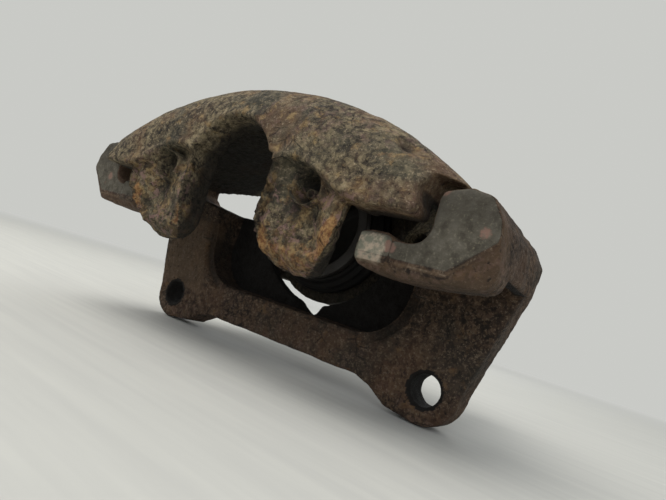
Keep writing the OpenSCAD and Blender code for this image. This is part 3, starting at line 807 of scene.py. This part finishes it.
def makeBush(c, side, name, node):
    # rubber sleeve: ribbed collar outside the ear, lip at the far end
    hole, r = 5.6, c["bushR"] - 0.1
    collar = []
    for i in range(13):
        t = i / 12
        collar.append((r + 1.1 + 0.9 * math.cos(4 * math.pi * t), c["bushStart"] + 0.3 + 3.3 * t))
    outline = ([(hole, c["bushStart"]), (r + 0.9, c["bushStart"])] + collar
               + [(r + 0.8, c["earY"] - 0.15), (r, c["earY"] - 0.1), (r, 48.2), (r + 1.0, 48.6),
                  (r + 1.0, 49.6), (r, c["bushEnd"]), (hole, c["bushEnd"])])
    piece = turnedMesh(name, rounded(outline, 0.25, 2), (side * c["x"], 0, c["z"]), "Y", 72)
    finished(piece, rubberSkin, "housing", "rubber", node)


def capTree(c):
    # grip ribs set round a cap's skirt
    tree = bpy.data.node_groups.new("capRibs", "GeometryNodeTree")
    sockets = {}
    for name, kind, value in (("Cap", "NodeSocketGeometry", None), ("Ribs", "NodeSocketInt", c["ribs"]),
                              ("Radius", "NodeSocketFloat", c["capR"] * mm),
                              ("Length", "NodeSocketFloat", c["ribLong"] * mm),
                              ("Thickness", "NodeSocketFloat", c["ribThick"] * mm),
                              ("Centre", "NodeSocketVector", None)):
        item = tree.interface.new_socket(name, in_out="INPUT", socket_type=kind)
        if value is not None:
            item.default_value = value
        sockets[name] = item.identifier
    skin = tree.interface.new_socket("Finish", in_out="INPUT", socket_type="NodeSocketMaterial")
    sockets["Finish"] = skin.identifier
    tree.interface.new_socket("Geometry", in_out="OUTPUT", socket_type="NodeSocketGeometry")
    given = addNode(tree, "NodeGroupInput").outputs
    ring = addNode(tree, "GeometryNodeMeshCircle", {}, {"Vertices": given["Ribs"], "Radius": given["Radius"]})
    upright = addNode(tree, "GeometryNodeTransform", {"Rotation": (math.radians(90), 0, 0)},
                      {"Geometry": ring.outputs[0], "Translation": given["Centre"]})
    rib = addNode(tree, "GeometryNodeMeshCylinder", {"Vertices": 10},
                  {"Radius": given["Thickness"], "Depth": given["Length"]})
    laid = addNode(tree, "GeometryNodeTransform", {"Rotation": (math.radians(90), 0, 0)},
                   {"Geometry": rib.outputs[0]})
    spread = addNode(tree, "GeometryNodeInstanceOnPoints", {},
                     {"Points": upright.outputs[0], "Instance": laid.outputs[0]})
    joined = addNode(tree, "GeometryNodeJoinGeometry")
    tree.links.new(spread.outputs[0], joined.inputs[0])
    tree.links.new(given["Cap"], joined.inputs[0])
    real = addNode(tree, "GeometryNodeRealizeInstances", {}, {0: joined.outputs[0]})
    painted = addNode(tree, "GeometryNodeSetMaterial", {},
                      {"Geometry": real.outputs[0], "Material": given["Finish"]})
    addNode(tree, "NodeGroupOutput", {}, {0: painted.outputs[0]})
    return tree, sockets


ribTree, ribSockets = capTree(guideSet)


def makeCap(c, side, name, node):
    # hollow cap with a collar, a domed end and the ribs of the tree
    hollow, r = 6.5, c["capR"] - 0.9
    y0, y1 = c["bushEnd"] + 0.1, c["capEnd"]
    outline = [(hollow, y0), (r + 0.9, y0), (r + 0.9, y0 + 1.2), (r, y0 + 1.6), (r, y1 - 2.2),
               (r - 1.6, y1 - 0.5), (3.2, y1 - 0.5), (2.6, y1), (0, y1), (0, y1 - 2), (hollow, y1 - 2)]
    piece = turnedMesh(name, rounded(outline, 0.5, 3), (side * c["x"], 0, c["z"]), "Y", 72)
    ribs = piece.modifiers.new("ribs", "NODES")
    ribs.node_group = ribTree
    ribs[ribSockets["Radius"]] = (r - 0.1) * mm
    ribs[ribSockets["Centre"]] = (side * c["x"] * mm, (y0 + 5.2) * mm, c["z"] * mm)
    ribs[ribSockets["Finish"]] = capNylon
    piece = evaluated(piece, name)
    finished(piece, capNylon, "housing", "cap_plastic", node)


for side, word in ((-1, "left"), (1, "right")):
    title = word.capitalize()
    makeBush(guideSet, side, "guideBush" + title, "guide_bush_" + word)
    makeCap(guideSet, side, "pinCap" + title, "pin_cap_" + word)

bleed = {"x": 14, "y": 47, "hexLow": 97.8, "hexHigh": 105.8, "hexFlats": 11, "top": 116.8}


def makeBleedScrew(c):
    # thread, hexagon with chamfered corners and a barbed nipple with its through hole
    t0 = c["hexLow"]
    low = [(1.0, 82), (2, 81.7), (4.9, 85.2)]
    thread = []
    y = 85.4
    while y < t0 - 1.2:
        thread += [(4.95, y), (4.45, y + 0.5)]
        y += 1.0
    top = [(4.2, t0 - 0.6), (4.2, t0 + 0.5)]
    h = c["hexHigh"]
    upper = [(4.0, h - 0.5), (2.7, h + 0.2), (2.7, h + 2.2), (2.95, h + 3.2), (2.95, h + 4.2),
             (2.4, h + 4.6), (2.4, h + 6.6), (3.0, c["top"] - 3.2), (3.0, c["top"] - 2.4),
             (2.0, c["top"]), (1.0, c["top"])]
    outline = low + thread + top + upper
    screw = turnedMesh("bleedScrewStem", outline, (c["x"], c["y"], 0), "Z", 48)
    verts, faces = [], []
    flat = c["hexFlats"] / 2
    corner = flat / math.cos(math.radians(30))
    around = 72
    rings = [(c["hexLow"], 0.86), (c["hexLow"] + 0.05, 0.93), (c["hexLow"] + 0.7, 1.0),
             (h - 0.8, 1.0), (h - 0.05, 0.92), (h, 0.84)]
    for z, share in rings:
        for i in range(around):
            a = 2 * math.pi * i / around
            side = flat / math.cos((a + math.pi / 6) % (math.pi / 3) - math.pi / 6)
            r = min(side, corner * share - 0.15)
            verts.append(((c["x"] + r * math.cos(a)) * mm, (c["y"] + r * math.sin(a)) * mm, z * mm))
    for k in range(len(rings) - 1):
        for i in range(around):
            j = (i + 1) % around
            faces.append((k * around + i, k * around + j, (k + 1) * around + j, (k + 1) * around + i))
    last = (len(rings) - 1) * around
    faces.append(tuple(range(around))[::-1])
    faces.append(tuple(range(last, last + around)))
    mesh = bpy.data.meshes.new("bleedHex")
    mesh.from_pydata(verts, [], faces)
    hexagon = newObject("bleedHex", mesh)
    shell = bmesh.new()
    shell.from_mesh(screw.data)
    shell.from_mesh(hexagon.data)
    shell.to_mesh(screw.data)
    shell.free()
    bpy.data.objects.remove(hexagon)
    screw.name = "bleedScrew"
    finished(screw, bleedSteel, "bleed_screw", "bleed_steel", "bleed_screw")
    screw.data.set_sharp_from_angle(angle=math.radians(35))


makeBleedScrew(bleed)


def makeBleedCap(c):
    # soft cap with a grip bead, hollow inside
    z0 = c["hexHigh"] + 0.3
    outline = [(3.4, z0), (6.0, z0), (6.0, z0 + 2.2), (5.0, z0 + 3.0), (5.0, z0 + 5.0), (5.2, z0 + 5.6),
               (5.0, z0 + 6.2), (5.0, z0 + 10.4), (4.0, z0 + 12.6), (2.4, z0 + 13.3), (0, z0 + 13.5),
               (0, z0 + 11.5), (3.4, z0 + 11.5)]
    piece = turnedMesh("bleedCap", rounded(outline, 0.45, 3), (c["x"], c["y"], 0), "Z", 64)
    finished(piece, rubberSkin, "bleed_cap", "rubber", "bleed_cap")


makeBleedCap(bleed)

# CAD nodes whose shape is right keep it
keptNodes = {"guide_pin_left": pinSteel, "guide_pin_right": pinSteel, "piston_seal": rubberSkin}
for node, material in keptNodes.items():
    nodes[node].data.materials.clear()
    nodes[node].data.materials.append(material)
print("small pieces done")
